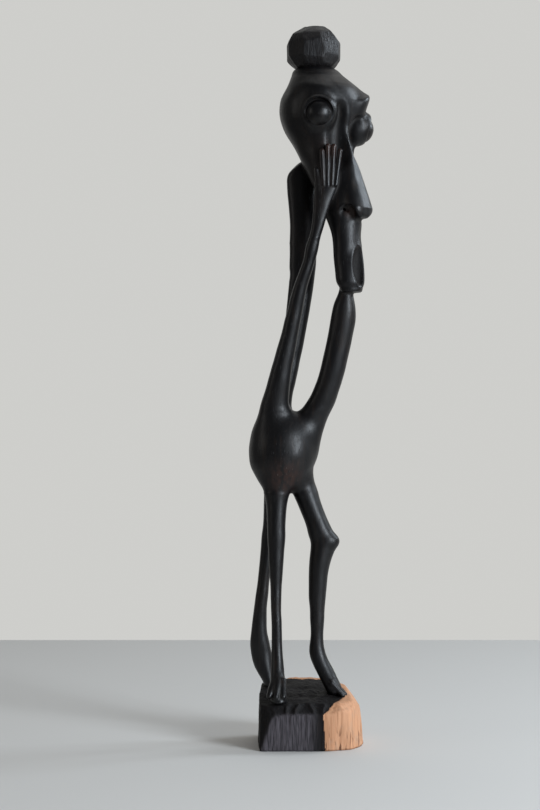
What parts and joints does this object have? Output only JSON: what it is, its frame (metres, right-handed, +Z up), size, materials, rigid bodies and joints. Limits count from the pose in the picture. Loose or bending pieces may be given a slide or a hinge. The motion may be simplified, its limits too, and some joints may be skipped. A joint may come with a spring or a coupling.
{
  "type": "carved spirit figure",
  "caption": "Slender dark wood spirit figure on a rough hewn block, with bulging eyes, a long wedge nose, an open mouth, a hand laid on the cheek and a faceted topknot.",
  "frame": {"origin": "middle of the block's underside, on the table", "axes": "+Z up along the figure, -Y out of the block's broad hewn face, +X to the right seen from there; the figure gazes 50 degrees from -Y towards +X"},
  "size_m": [0.0739, 0.056, 0.42],
  "materials": {
    "polished_ebony": "near-black heartwood, satin hand polish",
    "hewn_ebony": "near-black heartwood left from the axe and gouge",
    "sapwood": "pale sapwood, bare and rough"
  },
  "bodies": {
    "root": {"base_heartwood": "hewn_ebony", "base_sapwood": "sapwood", "right_leg": "polished_ebony", "right_foot": "polished_ebony", "left_leg": "polished_ebony", "left_foot": "polished_ebony", "rear_leg": "polished_ebony", "rear_foot": "polished_ebony", "belly": "polished_ebony", "trunk": "polished_ebony", "right_arm": "polished_ebony", "right_hand": "polished_ebony", "left_arm": "polished_ebony", "left_hand": "polished_ebony", "jaw": "polished_ebony", "head": "polished_ebony", "nose": "polished_ebony", "right_eye": "polished_ebony", "left_eye": "polished_ebony", "topknot": "polished_ebony"}
  },
  "joints": []
}
